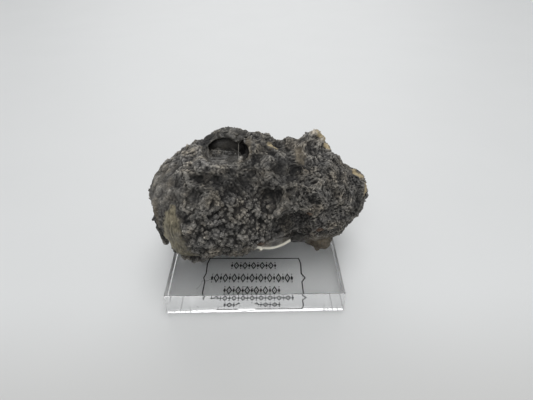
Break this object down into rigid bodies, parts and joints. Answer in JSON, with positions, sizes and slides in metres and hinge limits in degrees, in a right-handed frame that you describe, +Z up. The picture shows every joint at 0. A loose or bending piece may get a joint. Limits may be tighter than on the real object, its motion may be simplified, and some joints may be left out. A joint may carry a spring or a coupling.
{
  "type": "fulgurite on a display block",
  "caption": "Dark, crusted lump of fused earth with a hooded hollow on top, standing on a square clear display block with a film label underneath.",
  "frame": {"origin": "middle of the display block's underside", "axes": "+Z up; +X to the right as seen from the label's side, along the stone; -Y towards the label's side"},
  "size_m": [0.0585, 0.0444, 0.0378],
  "materials": {
    "crust": "rough, dark grey-brown fused crust with bare olive and cream glassy patches",
    "clear_acrylic": "clear, polished faces with faint saw marks on the edges",
    "printed_film": "clear film printed with a black outline and plain marks"
  },
  "bodies": {
    "root": {"fulgurite": "crust", "display_base": "clear_acrylic", "label": "printed_film"}
  },
  "joints": []
}
